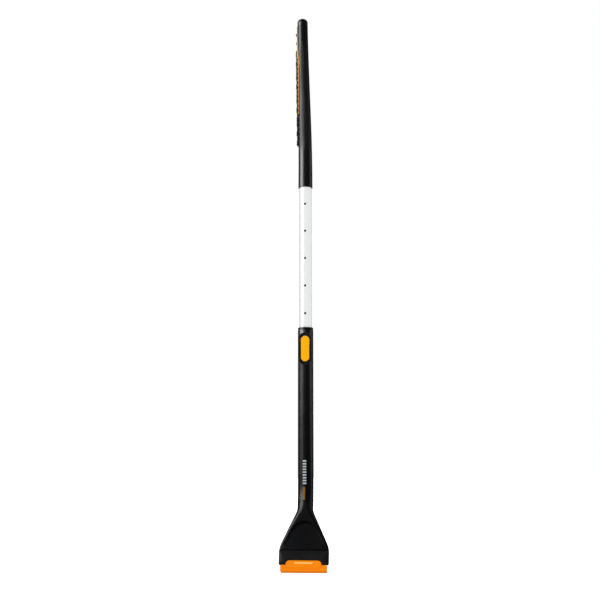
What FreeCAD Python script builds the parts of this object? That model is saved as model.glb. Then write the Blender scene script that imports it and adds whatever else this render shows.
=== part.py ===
import FreeCAD, Part
import math
import os

os.makedirs("parts", exist_ok=True)

V = FreeCAD.Vector

# Shaft of the lower body, in mm. +Z runs up the shaft, the button side is -Y.
shaft_radius = 16.85
shaft_bore_radius = 15.0
shaft_top = 506.0
bend_start = 176.0
bend_radius = 100.0
bend_angle = 24.0
bore_run_out = 14.0

# Telescopic tube and its row of locking holes.
tube_radius = 14.0
tube_wall = 1.2
tube_bottom = 472.0
tube_top = 925.0
hole_radius = 2.5
hole_pitch = 61.5
hole_count = 6
first_hole = 481.0
plug_height = 6.0
plug_floor = 2.0
plug_wall = 2.2

# Collar on top of the shaft.
collar_radius = 16.6
collar_neck_radius = 15.7
collar_height = 6.0
collar_neck_height = 1.2
collar_lip = 1.8
collar_bore_radius = 14.3
bush_height = 7.5

# Release button.
button_centre = 464.6
button_width = 18.2
button_length = 55.4
button_gap = 1.1
button_inner_depth = 16.2
button_outer_depth = 19.2
button_edge = 1.3
hub_radius = 1.9
pad_width = 25.6
pad_length = 71.0
pad_depth = 18.5
pad_root_depth = 10.0
window_floor = 5.0
rim_step = (0.8, 0.4)
dish_step = (2.0, 1.2)
pivot_height = 462.0
pivot_depth = 16.2
pivot_radius = 1.0
pivot_half_length = 11.4
lock_pin_radius = 2.1
lock_pin_tip_depth = 14.4
lock_pin_seat = 18.0
spring_low = 439.0
spring_high = 451.0
spring_foot_depth = 14.6
spring_crown_depth = 15.9
spring_thickness = 0.35
spring_width = 5.0
press_clearance = 0.02

# Head, in its own upright frame: h runs from the blade edge up the head.
head_width = 102.8
head_thickness = 17.0
head_bottom = 18.5
flare_bottom = 49.8
flare_top = 128.0
flare_blend = 8.0
head_corner = 4.0
neck_width = 33.2
seam_height = 43.0
pocket_low = 60.0
pocket_high = 106.0
pocket_low_half = 30.0
pocket_high_half = 11.0
pocket_front = 1.0
rear_post_radius = 4.0
rear_bore_front = 2.0
rear_plate_thickness = 2.4
rear_plate_seat_gap = 0.1
rear_plate_gap = 0.4
rear_screw_radius = 1.4
rear_screw_lift = 0.9
rear_screw_head_radius = 2.9
rear_screw_head_height = 1.3
rear_screw_tip = 2.5
rear_screw_places = (67.0, 97.0)
rim_width = 8.0
recess_top = 103.5
recess_shoulder = 24.0
recess_depth = 5.2
recess_low = 50.8
recess_foot_depth = 0.4
recess_draft = 4.0

# Blade and the plates that clamp it.
blade_width = 90.0
blade_thickness = 1.2
blade_face = -1.6
blade_low = 3.0
blade_high = 62.0
blade_bevel = 5.0
blade_corner = 4.0
blade_gap = 0.15
plate_front_depth = 8.5
plate_bottom = 12.9
ear_width = 13.0
notch_run = 5.0
notch_top = 21.6
plate_corner = 3.2
notch_corner = 5.0
plate_chamfer = 0.9
plate_gap = 0.6
screw_places = (-32.0, 0.0, 32.0)
screw_height = 34.0
screw_radius = 2.0
screw_head_radius = 4.0
screw_head_height = 2.4
screw_pan_round = 0.35
screw_cross_length = 0.6
screw_cross_half_width = 0.12
screw_cross_depth = 0.5
screw_gap = 0.2
screw_reach = 6.8
screw_sink = 3.4
screw_sink_radius = 4.6
washer_radius = 4.3
washer_thickness = 0.9
nut_size = 7.0
nut_front = 6.6
nut_height = 3.2
nut_pocket_gap = 0.2
nut_pocket_roof = 0.3
thread_gap = 0.03

# Blade cover.
cover_width = 95.4
cover_bar_height = 12.3
cover_front = 9.0
cover_back = 7.8
cover_clearance = 0.7
cover_end_gap = 1.0
cover_floor = 1.8
cover_corner = 1.4
cover_chamfer = 0.8
tab_edge = 0.9
tab_width = 72.8
tab_low = 5.6
tab_height = 21.0
tab_corner = 7.6
tab_front = 10.2
tab_back = 3.6
rib_width = 37.6
rib_height = 2.8
rib_low = 14.1
rib_lift = 0.5
rib_edge = 0.3

# Grip on top of the tube.
grip_bottom = 828.0
grip_top = 1234.0
grip_rim_radius = 15.9
grip_mid_radius = 15.2
grip_mid_height = 927.0
grip_end_radius = 11.9
grip_turn = 60.0
grip_offset = 7.6
curve_start = 860.0
curve_end = 1240.0
dome_start = 1217.0
inlay_bottom = 1000.0
inlay_top = 1216.5
inlay_half_angle = 80.0
inlay_sweep_start = 1137.0
stud_bottom = 930.0
stud_top = 1200.0
stud_reach = 3.7
stud_radius = 2.6
stud_tip_radius = 1.9
stud_gap = 0.2
stud_foot = 0.5
stud_pitch = 5.6
stud_thin_start = 1150.0
stud_thin_pitch = 21.0
stud_first = 209.0
stud_high_first = 183.0
stud_stagger = 12.0
stud_spacing = 26.0
stud_last = 90.0
stud_uneven = 0.15
mouth_radius = 15.4
mouth_depth = 2.6
slide_clearance = 0.06
bush_press = 0.05
cap_round = 9.0
palm_direction = 90.0 + grip_turn
inlay_lift = 1.6
inlay_gap = 0.3
inlay_front_low = 9.5
inlay_front_high = 0.5

# Printed marks on the shaft, given by heights and by directions in degrees, -90 being the front.
mark_inner = 0.3
mark_outer = 0.45
white_low = 176.5
white_high = 229.0
white_bars = 9
white_share = 0.55
white_direction = -95.0
white_half_angle = 12.5
orange_direction = -98.5
orange_half_angle = 7.5
orange_start = 3.5
orange_turn = 19.0


nodes = {}


def keep(shape, name):
    nodes[name] = shape


def cylinder(radius, low, high, x=0.0, y=0.0):
    return Part.makeCylinder(radius, high - low, V(x, y, low))


def ring(outer, inner, low, high):
    return cylinder(outer, low, high).cut(cylinder(inner, low - 1.0, high + 1.0))


def stadium(width, length, centre_z, y_front, y_back):
    """Upright stadium block, facing -Y, between two depths."""
    r = width / 2.0
    reach = length / 2.0 - r
    a = V(-r, 0, reach)
    b = V(r, 0, reach)
    c = V(r, 0, -reach)
    d = V(-r, 0, -reach)
    edges = [
        Part.Arc(a, V(0, 0, reach + r), b).toShape(),
        Part.makeLine(b, c),
        Part.Arc(c, V(0, 0, -reach - r), d).toShape(),
        Part.makeLine(d, a),
    ]
    face = Part.Face(Part.Wire(edges))
    face.translate(V(0, -y_front, centre_z))
    return face.extrude(V(0, y_front - y_back, 0))


def polygon_prism(points, y_front, y_back):
    """Outline in x and h, extruded through the depth."""
    corners = [V(x, -y_front, z) for x, z in points]
    corners.append(corners[0])
    return Part.Face(Part.makePolygon(corners)).extrude(V(0, y_front - y_back, 0))


def rounded_section(width, depth, corner, height):
    """Rounded rectangle in the x-y plane of the head."""
    w = width / 2.0
    d = depth / 2.0
    k = corner * (1.0 - math.sqrt(0.5))
    edges = [
        Part.makeLine(V(-w + corner, -d, height), V(w - corner, -d, height)),
        Part.Arc(V(w - corner, -d, height), V(w - k, -d + k, height), V(w, -d + corner, height)).toShape(),
        Part.makeLine(V(w, -d + corner, height), V(w, d - corner, height)),
        Part.Arc(V(w, d - corner, height), V(w - k, d - k, height), V(w - corner, d, height)).toShape(),
        Part.makeLine(V(w - corner, d, height), V(-w + corner, d, height)),
        Part.Arc(V(-w + corner, d, height), V(-w + k, d - k, height), V(-w, d - corner, height)).toShape(),
        Part.makeLine(V(-w, d - corner, height), V(-w, -d + corner, height)),
        Part.Arc(V(-w, -d + corner, height), V(-w + k, -d + k, height), V(-w + corner, -d, height)).toShape(),
    ]
    return Part.Wire(edges)


# Where the head frame sits: its axis leaves the end of the bend.
bend_rad = math.radians(bend_angle)
bend_end_z = bend_start - bend_radius * math.sin(bend_rad)
bend_end_y = -bend_radius * (1.0 - math.cos(bend_rad))
head_origin_z = cover_back * math.sin(bend_rad)
head_axis_length = (bend_end_z - head_origin_z) / math.cos(bend_rad)
head_origin_y = bend_end_y - head_axis_length * math.sin(bend_rad)


def from_head(shape):
    """Move a shape from the upright head frame to its tilted place."""
    moved = shape.copy()
    moved.rotate(V(0, 0, 0), V(1, 0, 0), -bend_angle)
    moved.translate(V(0, head_origin_y, head_origin_z))
    return moved


def bend_solid(radius):
    """Round bar that follows the bend."""
    disc = Part.Face(Part.Wire(Part.makeCircle(radius, V(0, 0, bend_start))))
    axis_point = V(0, -bend_radius, bend_start)
    return disc.revolve(axis_point, V(1, 0, 0), -bend_angle)


def soft_max(a, b, blend):
    """Larger of two lengths, with a rounded change from one to the other."""
    if abs(a - b) >= blend:
        return max(a, b)
    return max(a, b) + (blend - abs(a - b)) ** 2 / (4.0 * blend)


def head_width_at(h):
    """Outline of the head: a straight flare with rounded ends."""
    slope = (head_width - neck_width) / (flare_top - flare_bottom)
    flare = head_width - slope * (h - flare_bottom)
    blend = flare_blend * slope
    upper = soft_max(flare, neck_width, blend)
    return -soft_max(-upper, -head_width, blend)


def head_depth_at(h):
    share = max(0.0, (h - flare_bottom) / (head_axis_length - flare_bottom))
    eased = share * share * (3.0 - 2.0 * share)
    return head_thickness + (neck_width - head_thickness) * eased


def head_blank():
    """Lofted head, round at the shaft and flat at the blade."""
    wires = []
    steps = 12
    low = flare_bottom - flare_blend
    for i in range(steps + 1):
        share = i / float(steps)
        h = head_axis_length + (low - head_axis_length) * share
        width = head_width_at(h)
        depth = head_depth_at(h)
        corner = (depth / 2.0 - 0.05) * (1.0 - share) + head_corner * share
        wires.append(rounded_section(width, depth, corner, h))
    flare = Part.makeLoft(wires, True, False)
    foot_wire = rounded_section(head_width_at(low), head_depth_at(low), head_corner, head_bottom)
    foot = Part.Face(foot_wire).extrude(V(0, 0, low - head_bottom))
    return flare.fuse(foot).removeSplitter()


def recess_outline(inset):
    """Arched window between the raised rims of the head."""
    low = recess_low + inset
    low_half = head_width_at(low) / 2.0 - rim_width - inset
    shoulder = recess_top - recess_shoulder
    high_half = head_width_at(shoulder) / 2.0 - rim_width - inset
    left = V(-high_half, 0, shoulder)
    right = V(high_half, 0, shoulder)
    edges = [
        Part.makeLine(V(-low_half, 0, low), left),
        Part.Arc(left, V(0, 0, recess_top - inset), right).toShape(),
        Part.makeLine(right, V(low_half, 0, low)),
        Part.makeLine(V(low_half, 0, low), V(-low_half, 0, low)),
    ]
    return Part.Wire(edges)


def head_recess():
    """Cutter for the dished face: sloping sides, and a floor that deepens towards the arch."""
    front = recess_outline(0.0)
    front.translate(V(0, -neck_width / 2.0, 0))
    back = recess_outline(recess_draft)
    back.translate(V(0, -head_thickness / 4.0, 0))
    funnel = Part.makeLoft([front, back], True, True)
    face_low = head_depth_at(recess_low) / 2.0
    face_high = head_depth_at(recess_top) / 2.0
    side = [
        V(-head_width, -head_width, recess_low),
        V(-head_width, -face_low + recess_foot_depth, recess_low),
        V(-head_width, -face_high + recess_depth, recess_top),
        V(-head_width, -head_width, recess_top),
    ]
    side.append(side[0])
    wedge = Part.Face(Part.makePolygon(side)).extrude(V(2.0 * head_width, 0, 0))
    return funnel.common(wedge)


def lower_body():
    """Shaft, button pad, bend and flared head, with the tube bore and the blade's seat."""
    shaft = cylinder(shaft_radius, bend_start, shaft_top)
    pad = stadium(pad_width, pad_length, button_centre, pad_depth, pad_root_depth)
    body = shaft.fuse(pad).fuse(bend_solid(shaft_radius))
    head = head_blank().cut(head_recess())
    plate_room = block(2.0 * head_width, -1.0, seam_height, head_width, -blade_face)
    blade_room = -blade_face + blade_thickness + blade_gap
    slot_width = blade_width + 2.0 * blade_gap
    blade_slot = block(slot_width, 0.0, blade_high + 1.0, blade_room, -blade_face - blade_gap)
    head = head.cut(plate_room).cut(blade_slot)
    for x in screw_places:
        head = head.cut(screw_cutter(x))
    head = head.cut(rear_pocket())
    body = body.fuse(from_head(head))
    body = body.cut(cylinder(shaft_bore_radius, bend_start - bore_run_out, shaft_top + 1.0))
    window_width = button_width + 2.0 * button_gap
    window_length = button_length + 2.0 * button_gap
    body = body.cut(stadium(window_width, window_length, button_centre, 2.0 * shaft_radius, window_floor))
    for inset, depth in (rim_step, dish_step):
        width = pad_width - 2.0 * inset
        length = pad_length - 2.0 * inset
        body = body.cut(stadium(width, length, button_centre, 2.0 * shaft_radius, pad_depth - depth))
    return body.cut(pivot_rod(pivot_radius + press_clearance, pivot_half_length + 0.1))


def pivot_rod(radius, half_length):
    """Round bar across the shaft, on the axis that the button rocks about."""
    start = V(-half_length, -pivot_depth, pivot_height)
    return Part.makeCylinder(radius, 2.0 * half_length, start, V(1, 0, 0))


def depth_rod(radius, x, height, y_front, y_back):
    """Round bar along the depth, between two depths in front of the centre."""
    return Part.makeCylinder(radius, y_front - y_back, V(x, -y_front, height), V(0, 1, 0))


def screw_cutter(x):
    """Clearance for one clamp screw and its head, from the back of the head."""
    shank = depth_rod(screw_radius + screw_gap, x, screw_height, head_thickness, -head_thickness)
    sink = depth_rod(screw_sink_radius, x, screw_height, screw_sink - head_thickness / 2.0, -head_thickness)
    return shank.fuse(sink)


def pan_screw(measures, x, height, seat, tip):
    """Pan-head screw that points forward, with a cross slot in its rounded head."""
    radius, head_radius, head_height = measures
    shank = depth_rod(radius, x, height, tip, -seat)
    pan = depth_rod(head_radius, x, height, -seat, -seat - head_height)
    rim = [e for e in pan.Edges if e.Closed and e.CenterOfMass.y > seat + head_height - 0.1]
    pan = pan.makeFillet(screw_pan_round * head_height, rim)
    slot_floor = -seat - (1.0 - screw_cross_depth) * head_height
    slot_top = -seat - 2.0 * head_height
    long = screw_cross_length * head_radius
    thin = screw_cross_half_width * head_radius
    cross_a = block(2.0 * long, height - thin, height + thin, slot_floor, slot_top, x)
    cross_b = block(2.0 * thin, height - long, height + long, slot_floor, slot_top, x)
    return from_head(shank.fuse(pan).cut(cross_a).cut(cross_b))


def clamp_screws():
    """Three screws driven from the back, seated on their washers."""
    seat = head_thickness / 2.0 - screw_sink + washer_thickness
    measures = (screw_radius, screw_head_radius, screw_head_height)
    solids = []
    for x in screw_places:
        solids.append(pan_screw(measures, x, screw_height, seat, screw_reach))
    return Part.makeCompound(solids)


def clamp_washers():
    solids = []
    seat = head_thickness / 2.0 - screw_sink
    for x in screw_places:
        disc = depth_rod(washer_radius, x, screw_height, -seat, -seat - washer_thickness)
        bore = depth_rod(screw_radius + 0.1, x, screw_height, 0.0, -head_thickness)
        solids.append(from_head(disc.cut(bore)))
    return Part.makeCompound(solids)


def hexagon(x, across_flats, y_front, y_back):
    radius = across_flats / math.sqrt(3.0)
    points = []
    for i in range(6):
        angle = math.radians(60.0 * i)
        points.append((x + radius * math.cos(angle), screw_height + radius * math.sin(angle)))
    return polygon_prism(points, y_front, y_back)


def clamp_nuts():
    """Hexagon nuts held in pockets on the blade side of the front plate."""
    solids = []
    for x in screw_places:
        nut = hexagon(x, nut_size, nut_front, nut_front - nut_height)
        bore = depth_rod(screw_radius + thread_gap, x, screw_height, head_thickness, -head_thickness)
        solids.append(from_head(nut.cut(bore)))
    return Part.makeCompound(solids)


def front_plate():
    """Plate with two ears; the blade cover's tab fills the notch between them."""
    half = head_width / 2.0
    inner = half - ear_width
    top = seam_height - plate_gap
    outline = [
        (-half, top),
        (-half, plate_bottom),
        (-inner, plate_bottom),
        (-inner + notch_run, notch_top),
        (inner - notch_run, notch_top),
        (inner, plate_bottom),
        (half, plate_bottom),
        (half, top),
    ]
    back = -blade_face + blade_thickness + 0.05
    plate = polygon_prism(outline, plate_front_depth, back)
    low_edges = [e for e in depth_edges(plate) if e.CenterOfMass.z < plate_bottom + 1.0]
    plate = plate.makeFillet(plate_corner, low_edges)
    notch_edges = [e for e in depth_edges(plate) if abs(e.CenterOfMass.z - notch_top) < 0.5]
    plate = plate.makeFillet(notch_corner, notch_edges)
    plate = plate.makeChamfer(plate_chamfer, front_edges(plate))
    for x in screw_places:
        plate = plate.cut(hexagon(x, nut_size + 2.0 * nut_pocket_gap, nut_front + nut_pocket_roof, 0.0))
    return from_head(plate)


def scraper_blade():
    """Flat steel blade, ground to an edge, with a hole for each screw."""
    half = blade_width / 2.0
    outline = [
        (-half, blade_low),
        (half, blade_low),
        (half, blade_high - blade_corner),
        (half - blade_corner, blade_high),
        (-half + blade_corner, blade_high),
        (-half, blade_high - blade_corner),
    ]
    y_front = blade_face - blade_thickness
    blade = polygon_prism(outline, -y_front, -blade_face)
    wedge = Part.Face(Part.makePolygon([
        V(-head_width, y_front - 0.1, blade_low - 0.1),
        V(-head_width, y_front + blade_thickness - 0.2, blade_low - 0.1),
        V(-head_width, y_front - 0.1, blade_low + blade_bevel),
        V(-head_width, y_front - 0.1, blade_low - 0.1),
    ])).extrude(V(2.0 * head_width, 0, 0))
    blade = blade.cut(wedge)
    for x in screw_places:
        blade = blade.cut(depth_rod(screw_radius + 0.3, x, screw_height, head_thickness, 0.0))
    return from_head(blade)


def depth_edges(shape):
    """Edges that run along the depth of the head."""
    return [e for e in shape.Edges if abs(e.tangentAt(e.FirstParameter).y) > 0.99]


def front_edges(shape):
    front = shape.BoundBox.YMin
    return [e for e in shape.Edges if e.CenterOfMass.y < front + 0.01]


def block(width, low, high, y_front, y_back, x=0.0):
    """Upright block between two heights and two depths."""
    return Part.makeBox(width, y_front - y_back, high - low, V(x - width / 2.0, -y_front, low))


def blade_cover():
    """Push-on guard: a deep bar along the edge, with a pill-shaped tab raised in front."""
    bar = block(cover_width, 0.0, cover_bar_height, cover_front, -cover_back)
    bar = bar.makeFillet(cover_corner, depth_edges(bar))
    bar = bar.makeChamfer(cover_chamfer, front_edges(bar))
    tab = block(tab_width, tab_low, tab_height, tab_front, tab_back)
    tab = tab.makeFillet(tab_corner, depth_edges(tab))
    tab = tab.makeFillet(tab_edge, front_edges(tab))
    rib = block(rib_width, rib_low, rib_low + rib_height, tab_front + rib_lift, tab_back)
    rib = rib.makeFillet(0.45 * rib_height, depth_edges(rib))
    rib = rib.makeFillet(rib_edge, front_edges(rib))
    front = -blade_face + blade_thickness + cover_clearance
    back = -blade_face - cover_clearance
    pocket = block(blade_width + 2.0 * cover_end_gap, cover_floor, head_width, front, back)
    return from_head(bar.fuse(tab).fuse(rib).cut(pocket))


def pocket_outline(gap):
    """Corners of the hollow in the back of the head, in x and h."""
    low_half = pocket_low_half - gap
    high_half = pocket_high_half - gap
    return [
        (-low_half, pocket_low + gap),
        (low_half, pocket_low + gap),
        (high_half, pocket_high - gap),
        (-high_half, pocket_high - gap),
    ]


def rear_posts(radius, y_front, y_back):
    """Two bars, one above the other, on the axes of the rear plate's screws."""
    posts = [depth_rod(radius, 0.0, h, y_front, y_back) for h in rear_screw_places]
    return posts[0].fuse(posts[1])


def rear_pocket():
    """Hollow in the back of the head, around the two posts that carry the plate."""
    pocket = polygon_prism(pocket_outline(0.0), pocket_front, -head_width)
    inner = head_blank()
    inner.translate(V(0, -rear_plate_thickness - rear_plate_seat_gap, 0))
    posts = rear_posts(rear_post_radius, 2.0 * pocket_front, -head_width).common(inner)
    bores = rear_posts(rear_screw_radius + press_clearance, -rear_bore_front, -head_width)
    return pocket.cut(posts).fuse(bores)


def rear_plate():
    """Plate over the hollow in the back of the head, flush with the surface round it."""
    blank = head_blank()
    below = blank.copy()
    below.translate(V(0, -rear_plate_thickness, 0))
    plate = polygon_prism(pocket_outline(rear_plate_gap), -pocket_front, -head_width).common(blank).cut(below)
    plate = plate.cut(rear_posts(rear_screw_radius + screw_gap, 0.0, -head_width))
    return from_head(plate)


def rear_plate_screws():
    """Two screws whose low heads stand on the rear plate."""
    measures = (rear_screw_radius, rear_screw_head_radius, rear_screw_head_height)
    solids = []
    for h in rear_screw_places:
        seat = head_depth_at(h) / 2.0 + rear_screw_lift
        solids.append(pan_screw(measures, 0.0, h, seat, -rear_screw_tip))
    return Part.makeCompound(solids)


def collar_ring():
    base = shaft_top + collar_neck_height
    top = shaft_top + collar_height
    cap = cylinder(collar_radius, base, top)
    cap = cap.makeFillet(collar_lip, [e for e in cap.Edges if e.Closed and e.CenterOfMass.z > top - 0.1])
    neck = cylinder(collar_neck_radius, shaft_top, base)
    return cap.fuse(neck).cut(cylinder(collar_bore_radius, shaft_top - 1.0, top + 1.0))


def guide_bush():
    outer = shaft_bore_radius - bush_press
    return ring(outer, tube_radius + slide_clearance, shaft_top - bush_height, shaft_top)


def lock_button():
    """Rocking release button: a stadium block with a hub for its pin and a seat for the lock pin."""
    body = stadium(button_width, button_length, button_centre, button_outer_depth, button_inner_depth)
    body = body.makeFillet(button_edge, front_edges(body))
    body = body.fuse(pivot_rod(hub_radius, button_width / 2.0 - 1.0))
    seat = depth_rod(lock_pin_radius + press_clearance, 0.0, first_hole, lock_pin_seat, 0.0)
    return body.cut(pivot_rod(pivot_radius + 0.05, button_width)).cut(seat)


def lock_pin():
    pin = depth_rod(lock_pin_radius, 0.0, first_hole, lock_pin_seat, lock_pin_tip_depth)
    tip = [e for e in pin.Edges if e.Closed and e.CenterOfMass.y > -lock_pin_tip_depth - 0.1]
    return pin.makeChamfer(0.5, tip)


def button_pivot_pin():
    return pivot_rod(pivot_radius, pivot_half_length)


def button_spring():
    """Bowed leaf spring under the lower end of the button."""
    low = V(0, -spring_foot_depth, spring_low)
    high = V(0, -spring_foot_depth, spring_high)
    crown = V(0, -spring_crown_depth, (spring_low + spring_high) / 2.0)
    thick = V(0, spring_thickness, 0)
    edges = [
        Part.Arc(low, crown, high).toShape(),
        Part.makeLine(high, high + thick),
        Part.Arc(high + thick, crown + thick, low + thick).toShape(),
        Part.makeLine(low + thick, low),
    ]
    face = Part.Face(Part.Wire(edges))
    face.translate(V(-spring_width / 2.0, 0, 0))
    return face.extrude(V(spring_width, 0, 0))


def telescopic_tube():
    tube = ring(tube_radius, tube_radius - tube_wall, tube_bottom, tube_top)
    for i in range(hole_count):
        tube = tube.cut(depth_rod(hole_radius, 0.0, first_hole + i * hole_pitch, 2.0 * tube_radius, 0.0))
    return tube


def tube_end_plug():
    outer = tube_radius - tube_wall - press_clearance
    top = tube_bottom + plug_height
    plug = cylinder(outer, tube_bottom - 1.0, top)
    return plug.cut(cylinder(outer - plug_wall, tube_bottom - plug_floor, top - plug_floor))


def grip_centre(z):
    """The grip runs straight, leans towards the palm side, then runs straight again."""
    share = min(1.0, max(0.0, (z - curve_start) / (curve_end - curve_start)))
    shift = grip_offset * share * share * (3.0 - 2.0 * share)
    turn = math.radians(grip_turn)
    return -shift * math.sin(turn), shift * math.cos(turn)


def grip_radius(z):
    if z < grip_mid_height:
        share = (z - grip_bottom) / (grip_mid_height - grip_bottom)
        return grip_rim_radius + (grip_mid_radius - grip_rim_radius) * share
    share = (z - grip_mid_height) / (dome_start - grip_mid_height)
    return grip_mid_radius + (grip_end_radius - grip_mid_radius) * share


def grip_loft(low, high, extra):
    steps = max(4, int((high - low) / 24.0))
    wires = []
    for i in range(steps + 1):
        z = low + (high - low) * i / float(steps)
        x, y = grip_centre(z)
        wires.append(Part.Wire(Part.makeCircle(grip_radius(z) + extra, V(x, y, z))))
    return Part.makeLoft(wires, True, False)


def grip_core():
    core = grip_loft(grip_bottom, dome_start, 0.0)
    bore = cylinder(tube_radius + slide_clearance, grip_bottom - 1.0, tube_top + 0.5)
    mouth = Part.makeCone(mouth_radius, tube_radius, mouth_depth, V(0, 0, grip_bottom - 0.01))
    return core.cut(bore).cut(mouth)


def grip_cap():
    """Domed end of the grip."""
    x, y = grip_centre(grip_top)
    cap = cylinder(grip_end_radius, dome_start, grip_top, x, y)
    return cap.makeFillet(cap_round, [e for e in cap.Edges if e.Closed and e.CenterOfMass.z > grip_top - 0.1])


def sector(radius, middle, half_angle, low, high):
    """Upright wedge from the axis outward, about a middle direction in degrees."""
    points = [V(0, 0, low)]
    for i in range(9):
        angle = math.radians(middle + half_angle * (i - 4.0) / 4.0)
        points.append(V(radius * math.cos(angle), radius * math.sin(angle), low))
    points.append(points[0])
    return Part.Face(Part.makePolygon(points)).extrude(V(0, 0, high - low))


def inlay_sweep():
    """Half-space whose slanted face trims the front edge of the inlay near the top."""
    reach = 60.0
    x, y = grip_centre(inlay_top)
    front = y - inlay_front_low
    back = y - inlay_front_high
    slope = (back - front) / (inlay_top - inlay_sweep_start)
    side = [
        V(-reach, front - reach * slope, inlay_sweep_start - reach),
        V(-reach, back + reach * slope, inlay_top + reach),
        V(-reach, -2.0 * reach, inlay_top + reach),
        V(-reach, -2.0 * reach, inlay_sweep_start - reach),
    ]
    side.append(side[0])
    return Part.Face(Part.makePolygon(side)).extrude(V(reach, 0, 0))


def grip_inlay():
    """Soft panel wrapped round the palm side of the grip."""
    outer = grip_loft(inlay_bottom, inlay_top, inlay_lift)
    inner = grip_loft(inlay_bottom - 1.0, inlay_top + 1.0, inlay_gap)
    x, y = grip_centre((inlay_bottom + inlay_top) / 2.0)
    wedge = sector(40.0, palm_direction, inlay_half_angle, inlay_bottom, inlay_top)
    wedge.translate(V(x, y, 0))
    return outer.cut(inner).common(wedge).cut(inlay_sweep())


def grip_studs():
    """Raised dots in rows round the palm side, with wider gaps between the rows near the top."""
    solids = []
    z = stud_bottom
    row = 0
    while z < stud_top:
        lift = inlay_lift if z > inlay_bottom - 2.0 * stud_radius else stud_foot
        x, y = grip_centre(z)
        angle = stud_high_first if z > inlay_sweep_start else stud_first - stud_stagger * (row % 2)
        while angle > stud_last:
            direction = V(math.cos(math.radians(angle)), math.sin(math.radians(angle)), 0)
            base = V(x, y, z) + direction * (grip_radius(z) + stud_gap + lift)
            reach = stud_reach * (1.0 + stud_uneven * math.sin(5.0 * row + angle))
            height = reach - stud_gap - lift
            solids.append(Part.makeCone(stud_radius, stud_tip_radius, height, base, direction))
            angle -= stud_spacing
        z += stud_pitch if z < stud_thin_start else stud_thin_pitch
        row += 1
    return Part.makeCompound(solids)


def grip_bush():
    """Ring inside the grip mouth that closes the gap to the tube."""
    return ring(tube_radius + 1.2, tube_radius + slide_clearance, grip_bottom - 0.4, grip_bottom + 0.3)


def shaft_shell(low, high):
    """Thin skin just clear of the shaft, for the printed marks."""
    return ring(shaft_radius + mark_outer, shaft_radius + mark_inner, low, high)


def stripe_white():
    """Row of plain short bars up the front of the straight shaft."""
    bars = []
    pitch = (white_high - white_low) / white_bars
    for i in range(white_bars):
        low = white_low + pitch * i
        wedge = sector(40.0, white_direction, white_half_angle, low, low + white_share * pitch)
        bars.append(shaft_shell(low, low + white_share * pitch).common(wedge))
    return Part.makeCompound(bars)


def stripe_orange():
    """One plain bar that follows the front of the bend."""
    outer = Part.Face(Part.Wire(Part.makeCircle(shaft_radius + mark_outer, V(0, 0, bend_start))))
    inner = Part.Face(Part.Wire(Part.makeCircle(shaft_radius + mark_inner, V(0, 0, bend_start))))
    wedge = sector(40.0, orange_direction, orange_half_angle, bend_start - 1.0, bend_start + 1.0)
    patch = outer.cut(inner).common(wedge)
    axis_point = V(0, -bend_radius, bend_start)
    patch.rotate(axis_point, V(1, 0, 0), -orange_start)
    return patch.revolve(axis_point, V(1, 0, 0), -orange_turn)


keep(lower_body(), "lower_body")
keep(collar_ring(), "collar_ring")
keep(guide_bush(), "guide_bush")
keep(lock_button(), "lock_button")
keep(lock_pin(), "lock_pin")
keep(button_pivot_pin(), "button_pivot_pin")
keep(button_spring(), "button_spring")
keep(front_plate(), "front_plate")
keep(scraper_blade(), "scraper_blade")
keep(clamp_screws(), "clamp_screws")
keep(clamp_washers(), "clamp_washers")
keep(clamp_nuts(), "clamp_nuts")
keep(rear_plate(), "rear_plate")
keep(rear_plate_screws(), "rear_plate_screws")
keep(blade_cover(), "blade_cover")
keep(telescopic_tube(), "telescopic_tube")
keep(tube_end_plug(), "tube_end_plug")
keep(grip_core(), "grip_core")
keep(grip_cap(), "grip_cap")
keep(grip_bush(), "grip_bush")
keep(grip_inlay(), "grip_inlay")
keep(grip_studs(), "grip_studs")
keep(stripe_white(), "stripe_white")
keep(stripe_orange(), "stripe_orange")

# The origin is the centre of the outline on the floor, so every node moves by the same step.
box = Part.makeCompound(list(nodes.values())).optimalBoundingBox(False)
plan_shift = V(0, -(box.YMin + box.YMax) / 2.0, -box.ZMin)
for name, shape in nodes.items():
    shape.translate(plan_shift)
    shape.exportStep("parts/" + name + ".step")
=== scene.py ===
import math

import bpy
from bpy.props import FloatProperty, FloatVectorProperty, PointerProperty
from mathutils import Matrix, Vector


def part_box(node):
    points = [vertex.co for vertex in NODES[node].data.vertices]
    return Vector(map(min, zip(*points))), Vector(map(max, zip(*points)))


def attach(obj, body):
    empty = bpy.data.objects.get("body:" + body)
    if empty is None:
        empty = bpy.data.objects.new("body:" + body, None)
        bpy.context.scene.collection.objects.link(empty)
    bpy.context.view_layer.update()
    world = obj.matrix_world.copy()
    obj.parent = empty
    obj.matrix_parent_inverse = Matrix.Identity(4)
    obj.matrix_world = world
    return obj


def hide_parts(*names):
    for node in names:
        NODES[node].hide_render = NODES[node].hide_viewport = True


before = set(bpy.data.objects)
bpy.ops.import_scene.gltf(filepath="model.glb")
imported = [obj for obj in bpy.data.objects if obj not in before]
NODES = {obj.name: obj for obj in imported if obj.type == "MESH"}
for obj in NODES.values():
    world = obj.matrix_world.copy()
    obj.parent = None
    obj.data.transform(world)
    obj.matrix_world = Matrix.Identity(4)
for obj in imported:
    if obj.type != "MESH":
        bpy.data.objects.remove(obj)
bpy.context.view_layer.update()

bl_info = {
    "name": "Floor Scraper",
    "version": (1, 0, 0),
    "blender": (4, 5, 0),
    "location": "3D View > Sidebar > Floor Scraper",
    "description": "Finishes and fine parts of a long-handled telescopic floor scraper",
    "category": "Add Mesh",
}

MM = 0.001
HEAD_TILT = math.radians(24.0)

# the camera's bearing, elevation and width of view in degrees, and the x and z that it looks at
VIEW_TURN = 4.3
VIEW_RISE = -9.0
VIEW_ANGLE = 36.599
VIEW_AIM = (-0.0123, 0.5739)

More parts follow.
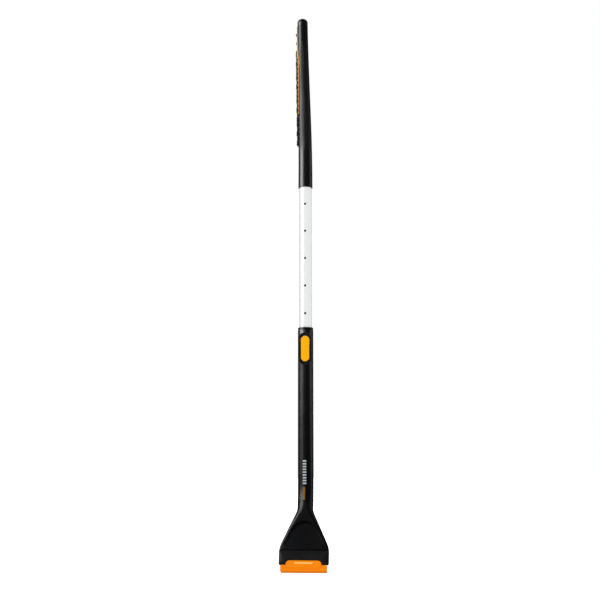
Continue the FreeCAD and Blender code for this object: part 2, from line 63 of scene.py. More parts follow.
# how many degrees faces turn by before their edge is rounded, and before their shading breaks
EDGE_TURN = 38.0
SHADE_TURN = 40.0

# gap under which the corners of a CAD node are one, and the same for points of a new piece
WELD_GAP = 0.005 * MM
TOUCH = 0.01 * MM

# how many sides a turned piece has
TURNED_SIDES = 96

# heights between which a finish changes: the head's duller finish, the grip's dots, the painted
# highlight at the top of the panel
DULL_HEIGHTS = (0.15, 0.40)
DULL_LEVELS = (0.22, 0.7)
DOTS_START = (0.905, 0.935)
DOTS_END = (1.150, 1.185)
PAINTED_HIGHLIGHT_HEIGHTS = (1.110, 1.190)

# how deep under its surface the tube's enamel ends above the bore's painted shade, and the painted
# highlight on the cover's rib ends
ENAMEL_DEPTH = (0.35 * MM, 0.3 * MM)
RIB_HIGHLIGHT_DEPTH = (0.35 * MM, 0.2 * MM)

# colours that go with one finish and are not offered in the panel
INK_WHITE = ("#BCC1C3", "#ACB2B4")
INK_AMBER = ("#8A6224", "#7A541A")
# near black in the tube's bore and holes: a painted shade for the dark inside the tube
PAINTED_SHADE_BORE = "#060606"
STUD_BLACK = "#040404"
# a paler orange on the top of the grip's panel: a painted highlight
PAINTED_HIGHLIGHT_PANEL = "#F0CE70"
# a paler orange on the rib's proud face: a painted highlight
PAINTED_HIGHLIGHT_RIB = "#FFCB70"
BUTTON_SHADE = "#F8AD00"
STEEL_PIN = "#B8BABC"
STEEL_BLADE = "#A9ACB0"
ZINC = "#B4B6BA"

# collar: bore clearance, step in to the neck, chamfer, lip, and heights as shares of its own height
COLLAR_CLEARANCE = 0.3 * MM
COLLAR_STEP = 0.9 * MM
COLLAR_CHAMFER = 0.3 * MM
COLLAR_LIP = 1.6 * MM
COLLAR_LIP_POINTS = 7
COLLAR_LIP_TURN = 15.0
COLLAR_NECK_SHARE = 0.2
COLLAR_SHOULDER_SHARE = 0.25
COLLAR_GROOVE_SHARES = (0.42, 0.62)

# half the height of a groove at its mouth and at its floor
GROOVE_MOUTH = 0.3 * MM
GROOVE_FLOOR = 0.1 * MM

# grip cap: width of the rim it sits on, height of the seam and of the slope above it, and its dome
CAP_RIM = 1.5 * MM
CAP_SEAM_TOP = 0.4 * MM
CAP_SLOPE_TOP = 0.8 * MM
CAP_DOME_POINTS = 13
CAP_DOME_TURN = 7.0

# lock button: its round ends as a share of its width, its rounded rim, and the rings of its crown
BUTTON_END_SHARE = 0.499
BUTTON_END_STEPS = 20
BUTTON_ROUND = 1.3 * MM
BUTTON_ROUND_STEPS = 5
BUTTON_MERGE = 0.05 * MM
CROWN_RINGS = 3
CROWN_RING_WIDTH = 1.5 * MM

# how far the floor lies below the tool, so that the blade cover can slide off above it
FLOOR_DROP = 33.0 * MM
FLOOR_SIZE = 12.0

# what surfaces mirror of the room, and the soft light it gives them
ROOM_MIRRORED = 0.028
ROOM_SOFT = 0.85

# a softbox points halfway between its own height and this one
AIM_HEIGHT = 0.6

# name, bearing in degrees from the front, distance, height, size, power and whether it is mirrored
SOFTBOXES = (
    ("key", -64.0, 1.5, 1.2, (1.3, 1.5), 60.0, True),
    ("right_card", 101.0, 1.5, 0.8, (0.6, 1.8), 4.0, True),
    ("rear_key", 180.0, 1.8, 1.0, (0.5, 1.6), 8.0, True),
    ("left_fill", -60.0, 3.0, 1.2, (2.5, 2.5), 10.0, False),
    ("front_fill", 20.0, 3.0, 1.2, (2.5, 2.5), 20.0, False),
)


# ---------------------------------------------------------------- helpers


def linear(hex_colour):
    """sRGB hex to the linear values that shaders take."""
    out = []
    for i in (1, 3, 5):
        c = int(hex_colour[i : i + 2], 16) / 255.0
        out.append(c / 12.92 if c <= 0.04045 else ((c + 0.055) / 1.055) ** 2.4)
    return out


def rgba(colour):
    return (colour[0], colour[1], colour[2], 1.0)


def add_node(tree, kind, settings=None, links=None):
    """Adds a node.

    Settings are its own properties or socket values, and links are socket: (node, output).
    """
    n = tree.nodes.new(kind)
    for key, value in (settings or {}).items():
        if isinstance(key, str) and hasattr(n, key):
            setattr(n, key, value)
        else:
            n.inputs[key].default_value = value
    for key, (source, output) in (links or {}).items():
        tree.links.new(source.outputs[output], n.inputs[key])
    return n


def new_material(name, shader):
    """Material with one Principled shader holding the constant values."""
    mat = bpy.data.materials.new(name)
    mat.use_nodes = True
    tree = mat.node_tree
    tree.nodes.clear()
    bsdf = add_node(tree, "ShaderNodeBsdfPrincipled", shader)
    add_node(tree, "ShaderNodeOutputMaterial", {}, {"Surface": (bsdf, "BSDF")})
    place = add_node(tree, "ShaderNodeTexCoord")
    return mat, tree, bsdf, place


def dress(names, mat):
    """Gives CAD nodes a material."""
    for name in names:
        mesh = NODES[name].data
        mesh.materials.clear()
        mesh.materials.append(mat)


def soften(names, width):
    """Rounds the sharp edges of CAD nodes a little, as a mould leaves them."""
    for name in names:
        weld = NODES[name].modifiers.new("weld", "WELD")
        weld.merge_threshold = WELD_GAP
        edge = NODES[name].modifiers.new("edge", "BEVEL")
        edge.width = width
        edge.segments = 2
        edge.limit_method = "ANGLE"
        edge.angle_limit = math.radians(EDGE_TURN)
        edge.use_clamp_overlap = True


def pick(piece, kind, test):
    """Selects the corners, edges or faces whose points pass the test, and stays in edit mode."""
    bpy.ops.object.mode_set(mode="EDIT")
    bpy.ops.mesh.select_mode(type=kind)
    bpy.ops.mesh.select_all(action="DESELECT")
    bpy.ops.object.mode_set(mode="OBJECT")
    mesh = piece.data
    items = {"VERT": mesh.vertices, "EDGE": mesh.edges, "FACE": mesh.polygons}[kind]
    for item in items:
        corners = [item.index] if kind == "VERT" else item.vertices
        item.select = test([mesh.vertices[i].co for i in corners])
    bpy.ops.object.mode_set(mode="EDIT")


def finish_piece(piece, name, mat, body):
    """Leaves edit mode and gives a new piece its name, finish, shading and body."""
    bpy.ops.mesh.select_all(action="SELECT")
    bpy.ops.mesh.normals_make_consistent(inside=False)
    bpy.ops.object.mode_set(mode="OBJECT")
    bpy.ops.object.transform_apply(location=True, rotation=True, scale=True)
    bpy.ops.object.shade_smooth_by_angle(angle=math.radians(SHADE_TURN))
    piece.name = name
    piece.data.name = name
    piece.data.materials.append(mat)
    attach(piece, body)


def lathe(centre, profile, closed):
    """Turned piece: a ring of edges is drawn along a profile of (radius, height) pairs.

    A closed profile comes back to its start; any other ends in a point on the axis.
    """
    bpy.ops.object.select_all(action="DESELECT")
    radius, height = profile[0]
    bpy.ops.mesh.primitive_circle_add(
        vertices=TURNED_SIDES, radius=radius, location=(centre[0], centre[1], height)
    )
    piece = bpy.context.object
    bpy.ops.object.transform_apply(location=True, rotation=True, scale=True)
    bpy.ops.object.mode_set(mode="EDIT")
    bpy.ops.mesh.select_mode(type="EDGE")
    bpy.ops.mesh.select_all(action="SELECT")
    for next_radius, next_height in profile[1:]:
        step = (0.0, 0.0, next_height - height)
        bpy.ops.mesh.extrude_edges_move(TRANSFORM_OT_translate={"value": step})
        ratio = next_radius / radius
        middle = (centre[0], centre[1], next_height)
        bpy.ops.transform.resize(value=(ratio, ratio, 1.0), center_override=middle)
        radius, height = next_radius, next_height
    if not closed:
        bpy.ops.mesh.merge(type="CENTER")
    bpy.ops.mesh.select_all(action="SELECT")
    bpy.ops.mesh.remove_doubles(threshold=TOUCH)
    return piece


def look(context):
    return context.scene.scraper_look


def sizes(context):
    return context.scene.scraper_sizes


# ---------------------------------------------------------------- materials


def moulded_black(name, colour, rough, grain_mm, bump):
    """Glass-filled nylon, injection moulded in a spark-eroded tool: an even, fine satin grain."""
    mat, tree, bsdf, place = new_material(
        name, {"Base Color": rgba(colour), "Roughness": rough, "IOR": 1.5}
    )
    # a real grain is finer; it is drawn coarse enough to show
    grain = add_node(
        tree,
        "ShaderNodeTexNoise",
        {"Scale": 1.0 / (grain_mm * MM), "Detail": 2.0, "Roughness": 0.6},
        {"Vector": (place, "Object")},
    )
    # the gloss wanders a little over some 60 mm
    cloud = add_node(
        tree,
        "ShaderNodeTexNoise",
        {"Scale": 1.0 / (60 * MM), "Detail": 3.0},
        {"Vector": (place, "Object")},
    )
    rub = add_node(
        tree,
        "ShaderNodeMapRange",
        {"From Min": 0.3, "From Max": 0.7, "To Min": rough - 0.04, "To Max": rough + 0.05},
        {"Value": (cloud, "Fac")},
    )
    tree.links.new(rub.outputs["Result"], bsdf.inputs["Roughness"])
    relief = add_node(
        tree,
        "ShaderNodeBump",
        {"Strength": bump, "Distance": 0.05 * MM},
        {"Height": (grain, "Fac")},
    )
    tree.links.new(relief.outputs["Normal"], bsdf.inputs["Normal"])
    return mat


def rise_between(mat, heights, levels):
    """Adds a value to a material that changes evenly between two heights on the tool."""
    tree = mat.node_tree
    place = tree.nodes["Texture Coordinate"]
    split = add_node(tree, "ShaderNodeSeparateXYZ", {}, {"Vector": (place, "Object")})
    limits = {
        "From Min": heights[0],
        "From Max": heights[1],
        "To Min": levels[0],
        "To Max": levels[1],
    }
    return add_node(tree, "ShaderNodeMapRange", limits, {"Value": (split, "Z")})


def dull_below(mat):
    """Gives the head a duller finish than the shaft, with an even change between them."""
    level = rise_between(mat, DULL_HEIGHTS, DULL_LEVELS)
    tree = mat.node_tree
    bsdf = tree.nodes["Principled BSDF"]
    tree.links.new(level.outputs["Result"], bsdf.inputs["Specular IOR Level"])
    return mat


def grip_black(name, colour):
    """Thermoplastic rubber over a hard core: satin, with fine raised dots on the upper grip."""
    mat, tree, bsdf, place = new_material(
        name, {"Base Color": rgba(colour), "Roughness": 0.42, "IOR": 1.5}
    )
    # dots 3 mm apart, drawn coarse enough to show
    dots = add_node(
        tree,
        "ShaderNodeTexVoronoi",
        {"Scale": 1.0 / (3.0 * MM), "Randomness": 0.15, "feature": "F1"},
        {"Vector": (place, "Object")},
    )
    round_dots = add_node(
        tree,
        "ShaderNodeMapRange",
        {"From Min": 0.28, "From Max": 0.42, "To Min": 1.0, "To Max": 0.0},
        {"Value": (dots, "Distance")},
    )
    split = add_node(tree, "ShaderNodeSeparateXYZ", {}, {"Vector": (place, "Object")})
    low = add_node(
        tree,
        "ShaderNodeMapRange",
        {"From Min": DOTS_START[0], "From Max": DOTS_START[1]},
        {"Value": (split, "Z")},
    )
    high = add_node(
        tree,
        "ShaderNodeMapRange",
        {"From Min": DOTS_END[0], "From Max": DOTS_END[1], "To Min": 1.0, "To Max": 0.0},
        {"Value": (split, "Z")},
    )
    zone = add_node(
        tree,
        "ShaderNodeMath",
        {"operation": "MULTIPLY"},
        {0: (low, "Result"), 1: (high, "Result")},
    )
    height = add_node(
        tree,
        "ShaderNodeMath",
        {"operation": "MULTIPLY"},
        {0: (zone, "Value"), 1: (round_dots, "Result")},
    )
    relief = add_node(
        tree,
        "ShaderNodeBump",
        {"Strength": 0.6, "Distance": 0.5 * MM},
        {"Height": (height, "Value")},
    )
    tree.links.new(relief.outputs["Normal"], bsdf.inputs["Normal"])
    rough = add_node(
        tree,
        "ShaderNodeMapRange",
        {"To Min": 0.34, "To Max": 0.5},
        {"Value": (zone, "Value")},
    )
    tree.links.new(rough.outputs["Result"], bsdf.inputs["Roughness"])
    return mat


def soft_rubber(name, colour, dusting):
    """Soft-touch rubber: matt, with a faint dusting that lightens its edges."""
    mat, tree, bsdf, place = new_material(
        name,
        {
            "Base Color": rgba(colour),
            "Roughness": 0.65,
            "IOR": 1.5,
            "Specular IOR Level": 0.25,
            "Sheen Weight": dusting,
        },
    )
    # a real skin is finer; it is drawn coarse enough to show
    grain = add_node(
        tree,
        "ShaderNodeTexNoise",
        {"Scale": 1.0 / (0.8 * MM), "Detail": 3.0},
        {"Vector": (place, "Object")},
    )
    relief = add_node(
        tree,
        "ShaderNodeBump",
        {"Strength": 0.2, "Distance": 0.05 * MM},
        {"Height": (grain, "Fac")},
    )
    tree.links.new(relief.outputs["Normal"], bsdf.inputs["Normal"])
    return mat


def paint_highlight_above(mat, colour, highlight_tint):
    """Lets a panel's colour grow paler towards its upper end, a painted highlight along the top of
    the panel.
    """
    rise = rise_between(mat, PAINTED_HIGHLIGHT_HEIGHTS, (0.0, 1.0))
    tree = mat.node_tree
    fade = add_node(
        tree,
        "ShaderNodeMix",
        {"data_type": "RGBA", 6: rgba(colour), 7: rgba(highlight_tint)},
        {"Factor": (rise, "Result")},
    )
    tree.links.new(fade.outputs[2], tree.nodes["Principled BSDF"].inputs["Base Color"])
    return mat


def gloss_moulded(name, colour, shade, rough):
    """Polypropylene or ABS from a polished tool, or printed ink: bright, with a soft marbling.

    The specular level is kept low, so that the colour stays deep beside the white backdrop.
    """
    mat, tree, bsdf, place = new_material(
        name,
        {
            "Base Color": rgba(colour),
            "Roughness": rough,
            "IOR": 1.49,
            "Specular IOR Level": 0.08,
            "Subsurface Weight": 0.08,
            "Subsurface Radius": (0.004, 0.0015, 0.0005),
            "Subsurface Scale": 1.0,
        },
    )
    flow = add_node(
        tree,
        "ShaderNodeTexNoise",
        {"Scale": 1.0 / (22 * MM), "Detail": 2.0, "Distortion": 0.6},
        {"Vector": (place, "Object")},
    )
    tint = add_node(
        tree,
        "ShaderNodeMix",
        {"data_type": "RGBA", 6: rgba(colour), 7: rgba(shade)},
        {"Factor": (flow, "Fac")},
    )
    tree.links.new(tint.outputs[2], bsdf.inputs["Base Color"])
    skin = add_node(
        tree,
        "ShaderNodeTexNoise",
        {"Scale": 1.0 / (1.5 * MM), "Detail": 2.0},
        {"Vector": (place, "Object")},
    )
    relief = add_node(
        tree,
        "ShaderNodeBump",
        {"Strength": 0.08, "Distance": 0.04 * MM},
        {"Height": (skin, "Fac")},
    )
    tree.links.new(relief.outputs["Normal"], bsdf.inputs["Normal"])
    return mat


def paint_rib_highlight(mat, piece, highlight_tint):
    """Paints a pale highlight on the face of the rib that stands proud of the cover's tab."""
    outward = Vector((0.0, -math.cos(HEAD_TILT), math.sin(HEAD_TILT)))
    reach = max(outward.dot(v.co) for v in piece.data.vertices)
    tree = mat.node_tree
    bsdf = tree.nodes["Principled BSDF"]
    place = tree.nodes["Texture Coordinate"]
    base = bsdf.inputs["Base Color"].links[0].from_node
    depth = add_node(
        tree,
        "ShaderNodeVectorMath",
        {"operation": "DOT_PRODUCT", 1: outward},
        {0: (place, "Object")},
    )
    proud = add_node(
        tree,
        "ShaderNodeMapRange",
        {"From Min": reach - RIB_HIGHLIGHT_DEPTH[0], "From Max": reach - RIB_HIGHLIGHT_DEPTH[1]},
        {"Value": (depth, "Value")},
    )
    rib_highlight = add_node(
        tree,
        "ShaderNodeMix",
        {"data_type": "RGBA", 7: rgba(highlight_tint)},
        {"Factor": (proud, "Result"), 6: (base, 2)},
    )
    tree.links.new(rib_highlight.outputs[2], bsdf.inputs["Base Color"])


def enamel_white(colour, centre_y, skin):
    """Baked enamel on a drawn tube: a clear gloss over a slight orange peel.

    The white only reaches the outer skin; the bore and the walls of the holes are painted near
    black, a painted shade for the dark inside the tube.
    """
    mat, tree, bsdf, place = new_material(
        "enamel_white",
        {
            "Base Color": rgba(colour),
            "Roughness": 0.34,
            "IOR": 1.5,
            "Coat Weight": 0.12,
            "Coat Roughness": 0.28,
        },
    )
    off_axis = add_node(
        tree,
        "ShaderNodeVectorMath",
        {"operation": "MULTIPLY_ADD", 1: (1.0, 1.0, 0.0), 2: (0.0, -centre_y, 0.0)},
        {0: (place, "Object")},
    )
    radius = add_node(
        tree,
        "ShaderNodeVectorMath",
        {"operation": "LENGTH"},
        {0: (off_axis, "Vector")},
    )
    outside = add_node(
        tree,
        "ShaderNodeMapRange",
        {"From Min": skin - ENAMEL_DEPTH[0], "From Max": skin - ENAMEL_DEPTH[1]},
        {"Value": (radius, "Value")},
    )
    # inside the enamel the tube is painted near black: painted shade
    coat = add_node(
        tree,
        "ShaderNodeMix",
        {"data_type": "RGBA", 6: rgba(linear(PAINTED_SHADE_BORE)), 7: rgba(colour)},
        {"Factor": (outside, "Result")},
    )
    tree.links.new(coat.outputs[2], bsdf.inputs["Base Color"])
    peel = add_node(
        tree,
        "ShaderNodeTexNoise",
        {"Scale": 1.0 / (2.5 * MM), "Detail": 1.0},
        {"Vector": (place, "Object")},
    )
    relief = add_node(
        tree,
        "ShaderNodeBump",
        {"Strength": 0.05, "Distance": 0.04 * MM},
        {"Height": (peel, "Fac")},
    )
    tree.links.new(relief.outputs["Normal"], bsdf.inputs["Normal"])
    return mat


def ground_steel(name, colour, rough, stretch):
    """Steel, ground or zinc plated: fine lines spread the highlight.

    They are drawn out along the axis whose stretch is low.
    """
    mat, tree, bsdf, place = new_material(
        name, {"Base Color": rgba(colour), "Metallic": 1.0, "Roughness": rough}
    )
    drawn_out = add_node(
        tree,
        "ShaderNodeMapping",
        {"Scale": stretch},
        {"Vector": (place, "Object")},
    )
    # real grinding lines are finer; these are drawn coarse enough to show
    lines = add_node(
        tree,
        "ShaderNodeTexNoise",
        {"Scale": 1.0 / (1.2 * MM), "Detail": 3.0},
        {"Vector": (drawn_out, "Vector")},
    )
    spread = add_node(
        tree,
        "ShaderNodeMapRange",
        {"To Min": rough - 0.1, "To Max": rough + 0.12},
        {"Value": (lines, "Fac")},
    )
    tree.links.new(spread.outputs["Result"], bsdf.inputs["Roughness"])
    relief = add_node(
        tree,
        "ShaderNodeBump",
        {"Strength": 0.15, "Distance": 0.02 * MM},
        {"Height": (lines, "Fac")},
    )
    tree.links.new(relief.outputs["Normal"], bsdf.inputs["Normal"])
    return mat


# ---------------------------------------------------------------- properties


class ScraperSizes(bpy.types.PropertyGroup):
    """Sizes of the pieces that are modelled here."""

    button_crown: FloatProperty(
        name="Button crown",
        description="How far the middle of the button stands above its rim",
        default=0.0006,
        unit="LENGTH",
    )
    button_depth: FloatProperty(
        name="Button depth",
        description="Thickness of the button, crown included",
        default=0.0019,
        unit="LENGTH",
    )
    mould_edge: FloatProperty(
        name="Mould edge",
        description="Width of the rounding on moulded edges",
        default=0.0004,
        unit="LENGTH",
    )
    collar_groove: FloatProperty(
        name="Collar groove",
        description="Depth of the two grooves round the collar",
        default=0.00025,
        unit="LENGTH",
    )
    cap_seam: FloatProperty(
        name="Cap seam",
        description="Depth of the seam between the grip and its cap",
        default=0.0003,
        unit="LENGTH",
    )
    cap_dome: FloatProperty(
        name="Cap dome",
        description="Height of the rounded end of the cap",
        default=0.0095,
        unit="LENGTH",
    )
    camera_distance: FloatProperty(
        name="Camera distance",
        description="From the camera to the middle of the tool",
        default=2.0,
        unit="LENGTH",
    )


class ScraperLook(bpy.types.PropertyGroup):
    """Colours of the finishes."""

    shaft: FloatVectorProperty(
        name="Shaft",
        description="Black of the shaft and head",
        default=linear("#050609"),
        subtype="COLOR",
    )
    grip: FloatVectorProperty(
        name="Grip",
        description="Black of the grip",
        default=linear("#090A0B"),
        subtype="COLOR",
    )
    cover: FloatVectorProperty(
        name="Blade cover",
        description="Orange of the blade cover",
        default=linear("#F88900"),
        subtype="COLOR",
    )
    cover_shade: FloatVectorProperty(
        name="Blade cover shade",
        description="Deeper orange in the cover",
        default=linear("#F28200"),
        subtype="COLOR",
    )
    button: FloatVectorProperty(
        name="Button",
        description="Yellow of the lock button",
        default=linear("#FDB200"),
        subtype="COLOR",
    )
    inlay: FloatVectorProperty(
        name="Inlay",
        description="Orange of the padded side of the grip",
        default=linear("#C48228"),
        subtype="COLOR",
    )
    tube: FloatVectorProperty(
        name="Tube",
        description="White of the tube",
        default=linear("#E8E9EA"),
        subtype="COLOR",
    )


# ---------------------------------------------------------------- operators


class SCRAPER_OT_shaft(bpy.types.Operator):
    """Finish the shaft, the head and the plates"""

    bl_idname = "scraper.shaft"
    bl_label = "Shaft and head"

    def execute(self, context):
        black = look(context).shaft
        body = moulded_black("nylon_black_shaft", black, 0.36, 0.9, 0.25)
        dress(["lower_body"], dull_below(body))
        plate = moulded_black("nylon_black_plate", black, 0.33, 0.9, 0.3)
        dress(["front_plate", "rear_plate"], plate)
        bush = moulded_black("acetal_black", black, 0.5, 1.2, 0.1)
        dress(["guide_bush", "grip_bush", "tube_end_plug"], bush)
        white = [linear(tint) for tint in INK_WHITE]
        dress(["stripe_white"], gloss_moulded("print_ink_white", white[0], white[1], 0.4))
        amber = [linear(tint) for tint in INK_AMBER]
        dress(["stripe_orange"], gloss_moulded("print_ink_amber", amber[0], amber[1], 0.4))
        soften(["lower_body", "front_plate", "rear_plate"], sizes(context).mould_edge)
        return {"FINISHED"}


class SCRAPER_OT_collar(bpy.types.Operator):
    """Turn the collar on top of the shaft, with its neck, two grooves and rounded lip"""

    bl_idname = "scraper.collar"
    bl_label = "Collar"

    def execute(self, context):
        low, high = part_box("collar_ring")
        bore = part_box("telescopic_tube")[1].x + COLLAR_CLEARANCE
        outer = high.x
        neck = outer - COLLAR_STEP
        groove = sizes(context).collar_groove
        rise = high.z - low.z
        ledge = low.z + COLLAR_NECK_SHARE * rise
        profile = [(bore, low.z), (neck, low.z), (neck, ledge), (outer - COLLAR_CHAMFER, ledge)]
        profile.append((outer, low.z + COLLAR_SHOULDER_SHARE * rise))
        for share in COLLAR_GROOVE_SHARES:
            middle = low.z + share * rise
            profile += [(outer, middle - GROOVE_MOUTH), (outer - groove, middle - GROOVE_FLOOR)]
            profile += [(outer - groove, middle + GROOVE_FLOOR), (outer, middle + GROOVE_MOUTH)]
        for i in range(COLLAR_LIP_POINTS):
            turn = math.radians(COLLAR_LIP_TURN * i)
            across = outer - COLLAR_LIP + COLLAR_LIP * math.cos(turn)
            profile.append((across, high.z - COLLAR_LIP + COLLAR_LIP * math.sin(turn)))
        profile += [(bore + COLLAR_CHAMFER, high.z), (bore, high.z - COLLAR_CHAMFER)]
        profile.append((bore, low.z))
        ring = lathe((0.0, 0.5 * (low.y + high.y)), profile, True)
        mat = moulded_black("nylon_black_collar", look(context).shaft, 0.34, 0.9, 0.2)
        finish_piece(ring, "collar_turned", mat, "handle")
        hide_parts("collar_ring")
        return {"FINISHED"}


class SCRAPER_OT_cap(bpy.types.Operator):
    """Turn the domed end of the grip, with the fine seam where it joins the core"""

    bl_idname = "scraper.cap"
    bl_label = "Grip cap"

    def execute(self, context):
        low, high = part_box("grip_cap")
        radius = 0.5 * (high.x - low.x)
        centre = (0.5 * (low.x + high.x), 0.5 * (low.y + high.y))
        seam = sizes(context).cap_seam
        base = low.z
        profile = [(radius - CAP_RIM, base), (radius - seam, base)]
        profile += [(radius - seam, base + CAP_SEAM_TOP), (radius, base + CAP_SLOPE_TOP)]
        dome = sizes(context).cap_dome
        for i in range(CAP_DOME_POINTS):
            turn = math.radians(CAP_DOME_TURN * i)
            inward = dome * (1.0 - math.cos(turn))
            height = high.z - dome + dome * math.sin(turn)
            profile.append((radius - inward * radius / dome, height))
        cap = lathe(centre, profile, False)
        mat = grip_black("tpe_black_cap", look(context).grip)
        finish_piece(cap, "grip_cap_turned", mat, "upper")
        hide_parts("grip_cap")
        return {"FINISHED"}


class SCRAPER_OT_tube(bpy.types.Operator):
    """Finish the telescopic tube"""

    bl_idname = "scraper.tube"
    bl_label = "Telescopic tube"

    def execute(self, context):
        low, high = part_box("telescopic_tube")
        enamel = enamel_white(look(context).tube, 0.5 * (low.y + high.y), high.x)
        dress(["telescopic_tube"], enamel)
        return {"FINISHED"}


class SCRAPER_OT_grip(bpy.types.Operator):
    """Finish the grip, its inlay and its studs"""

    bl_idname = "scraper.grip"
    bl_label = "Grip"

    def execute(self, context):
        dress(["grip_core"], grip_black("tpe_black", look(context).grip))
        inlay = look(context).inlay
        panel = soft_rubber("tpe_orange", inlay, 0.06)
        # the panel pales towards its top: a painted highlight
        dress(["grip_inlay"], paint_highlight_above(panel, inlay, linear(PAINTED_HIGHLIGHT_PANEL)))
        dress(["grip_studs"], soft_rubber("tpe_black_stud", linear(STUD_BLACK), 0.0))
        return {"FINISHED"}


class SCRAPER_OT_button(bpy.types.Operator):
    """Shape the lock button with its rounded rim and low crown, and finish its steel parts"""

    bl_idname = "scraper.button"
    bl_label = "Lock button"

    def execute(self, context):
        low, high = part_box("lock_button")
        crown = sizes(context).button_crown
        size = Vector((high.x - low.x, sizes(context).button_depth - crown, high.z - low.z))
        front = low.y + crown
        middle = Vector((0.5 * (low.x + high.x), front + 0.5 * size.y, 0.5 * (low.z + high.z)))
        bpy.ops.object.select_all(action="DESELECT")
        bpy.ops.mesh.primitive_cube_add(size=1.0, location=middle)
        button = context.object
        button.scale = size
        bpy.ops.object.transform_apply(location=True, rotation=True, scale=True)
        pick(button, "EDGE", lambda pair: abs(pair[0].y - pair[1].y) > 0.5 * size.y)
        ends = BUTTON_END_SHARE * size.x
        bpy.ops.mesh.bevel(offset=ends, segments=BUTTON_END_STEPS, affect="EDGES")
        pick(button, "EDGE", lambda pair: all(co.y < front + TOUCH for co in pair))
        bpy.ops.mesh.bevel(offset=BUTTON_ROUND, segments=BUTTON_ROUND_STEPS, affect="EDGES")
        bpy.ops.mesh.select_all(action="SELECT")
        bpy.ops.mesh.remove_doubles(threshold=BUTTON_MERGE)
        pick(button, "FACE", lambda rim: all(co.y < front + TOUCH for co in rim))
        for i in range(CROWN_RINGS):
            bpy.ops.mesh.inset(thickness=CROWN_RING_WIDTH, use_even_offset=False)
            bpy.ops.transform.translate(value=(0.0, -crown / CROWN_RINGS, 0.0))
        yellow = look(context).button
        mat = gloss_moulded("abs_yellow", yellow, linear(BUTTON_SHADE), 0.34)
        finish_piece(button, "button_shaped", mat, "button")
        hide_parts("lock_button")
        steel = ground_steel("steel_pin", linear(STEEL_PIN), 0.3, (1.0, 1.0, 1.0))
        dress(["lock_pin", "button_pivot_pin", "button_spring"], steel)
        return {"FINISHED"}


class SCRAPER_OT_blade(bpy.types.Operator):
    """Finish the blade, its screws and its cover"""

    bl_idname = "scraper.blade"
    bl_label = "Blade and cover"

    def execute(self, context):
        # the grinding lines run along the strip, twenty times as long as they are wide
        strip = ground_steel("steel_blade", linear(STEEL_BLADE), 0.34, (0.05, 1.0, 1.0))
        dress(["scraper_blade"], strip)
        zinc = ground_steel("zinc_plate", linear(ZINC), 0.36, (1.0, 1.0, 1.0))
        dress(["clamp_screws", "clamp_washers", "clamp_nuts", "rear_plate_screws"], zinc)
        colours = look(context)
        soften(["blade_cover"], sizes(context).mould_edge)
        orange = gloss_moulded("polypropylene_orange", colours.cover, colours.cover_shade, 0.42)
        dress(["blade_cover"], orange)
        # the rib's proud face gets a painted highlight
        paint_rib_highlight(orange, NODES["blade_cover"], linear(PAINTED_HIGHLIGHT_RIB))
        return {"FINISHED"}


def softbox(name, bearing, distance, height, size, power, mirrored):
    """Rectangular light, placed by its bearing in degrees from the front, towards -X below zero.

    A mirrored light only draws the highlights; the others only light the surfaces softly.
    """
    data = bpy.data.lights.new(name, "AREA")
    data.shape = "RECTANGLE"
    data.size, data.size_y = size
    data.energy = power
    lamp = bpy.data.objects.new(name, data)
    bpy.context.scene.collection.objects.link(lamp)
    turn = math.radians(bearing)
    lamp.location = (distance * math.sin(turn), -distance * math.cos(turn), height)
    aim = Vector((0.0, 0.0, 0.5 * (height + AIM_HEIGHT))) - lamp.location
    lamp.rotation_euler = aim.to_track_quat("-Z", "Y").to_euler()
    lamp.visible_camera = False
    lamp.visible_glossy = mirrored
    lamp.visible_diffuse = not mirrored


def studio_world(mirrored, soft):
    """White backdrop, soft light from all round, and a dim room for the surfaces to mirror."""
    world = bpy.data.worlds.new("studio")
    world.use_nodes = True
    tree = world.node_tree
    tree.nodes.clear()
    path = add_node(tree, "ShaderNodeLightPath")
    seen = add_node(
        tree,
        "ShaderNodeMath",
        {"operation": "MULTIPLY_ADD", 1: 1.0 - mirrored, 2: mirrored},
        {0: (path, "Is Camera Ray")},
    )
    strength = add_node(
        tree,
        "ShaderNodeMath",
        {"operation": "MULTIPLY_ADD", 1: soft - mirrored},
        {0: (path, "Is Diffuse Ray"), 2: (seen, "Value")},
    )
    back = add_node(
        tree,
        "ShaderNodeBackground",
        {"Color": (1.0, 1.0, 1.0, 1.0)},
        {"Strength": (strength, "Value")},
    )
    add_node(tree, "ShaderNodeOutputWorld", {}, {"Surface": (back, "Background")})
    return world


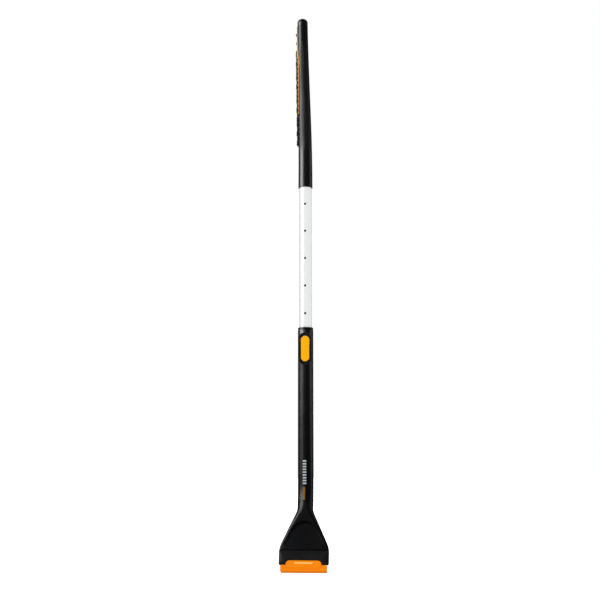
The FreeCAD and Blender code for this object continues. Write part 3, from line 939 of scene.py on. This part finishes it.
class SCRAPER_OT_stage(bpy.types.Operator):
    """Pale floor, soft light and the camera"""

    bl_idname = "scraper.stage"
    bl_label = "Stage"

    def execute(self, context):
        bpy.ops.object.select_all(action="DESELECT")
        bpy.ops.mesh.primitive_plane_add(size=FLOOR_SIZE, location=(0, 0, -FLOOR_DROP))
        floor = context.object
        floor.name = "floor"
        paper = {
            "Base Color": (0.9, 0.9, 0.9, 1.0),
            "Roughness": 0.9,
            "Specular IOR Level": 0.1,
            "Emission Color": (1.0, 1.0, 1.0, 1.0),
            "Emission Strength": 0.95,
        }
        floor.data.materials.append(new_material("paper_white", paper)[0])
        floor.visible_glossy = False
        floor.visible_diffuse = False

        context.scene.world = studio_world(ROOM_MIRRORED, ROOM_SOFT)
        context.scene.view_settings.view_transform = "Standard"
        for box in SOFTBOXES:
            softbox(*box)

        turn = math.radians(VIEW_TURN)
        rise = math.radians(VIEW_RISE)
        back = Vector(
            (math.sin(turn) * math.cos(rise), -math.cos(turn) * math.cos(rise), math.sin(rise))
        )
        data = bpy.data.cameras.new("camera")
        data.sensor_width = 36.0
        data.angle = math.radians(VIEW_ANGLE)
        camera = bpy.data.objects.new("camera", data)
        context.scene.collection.objects.link(camera)
        low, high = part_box("telescopic_tube")
        aim = Vector((VIEW_AIM[0], 0.5 * (low.y + high.y), VIEW_AIM[1]))
        camera.location = aim + back * sizes(context).camera_distance
        camera.rotation_euler = (-back).to_track_quat("-Z", "Y").to_euler()
        context.scene.camera = camera
        return {"FINISHED"}


class SCRAPER_PT_panel(bpy.types.Panel):
    """Lists the steps that finish the floor scraper"""

    bl_idname = "SCRAPER_PT_panel"
    bl_label = "Floor Scraper"
    bl_space_type = "VIEW_3D"
    bl_region_type = "UI"
    bl_category = "Floor Scraper"

    def draw(self, context):
        for step in STEPS:
            self.layout.operator(step.bl_idname)
        for group in (context.scene.scraper_sizes, context.scene.scraper_look):
            for key in group.__annotations__:
                self.layout.prop(group, key)


STEPS = (
    SCRAPER_OT_shaft,
    SCRAPER_OT_collar,
    SCRAPER_OT_tube,
    SCRAPER_OT_grip,
    SCRAPER_OT_cap,
    SCRAPER_OT_button,
    SCRAPER_OT_blade,
    SCRAPER_OT_stage,
)
CLASSES = (ScraperSizes, ScraperLook) + STEPS + (SCRAPER_PT_panel,)


def register():
    for cls in CLASSES:
        bpy.utils.register_class(cls)
    bpy.types.Scene.scraper_sizes = PointerProperty(type=ScraperSizes)
    bpy.types.Scene.scraper_look = PointerProperty(type=ScraperLook)


def unregister():
    del bpy.types.Scene.scraper_look
    del bpy.types.Scene.scraper_sizes
    for cls in reversed(CLASSES):
        bpy.utils.unregister_class(cls)


def main():
    register()
    bpy.ops.scraper.shaft()
    bpy.ops.scraper.collar()
    bpy.ops.scraper.tube()
    bpy.ops.scraper.grip()
    bpy.ops.scraper.cap()
    bpy.ops.scraper.button()
    bpy.ops.scraper.blade()
    bpy.ops.scraper.stage()


if __name__ == "__main__":
    main()
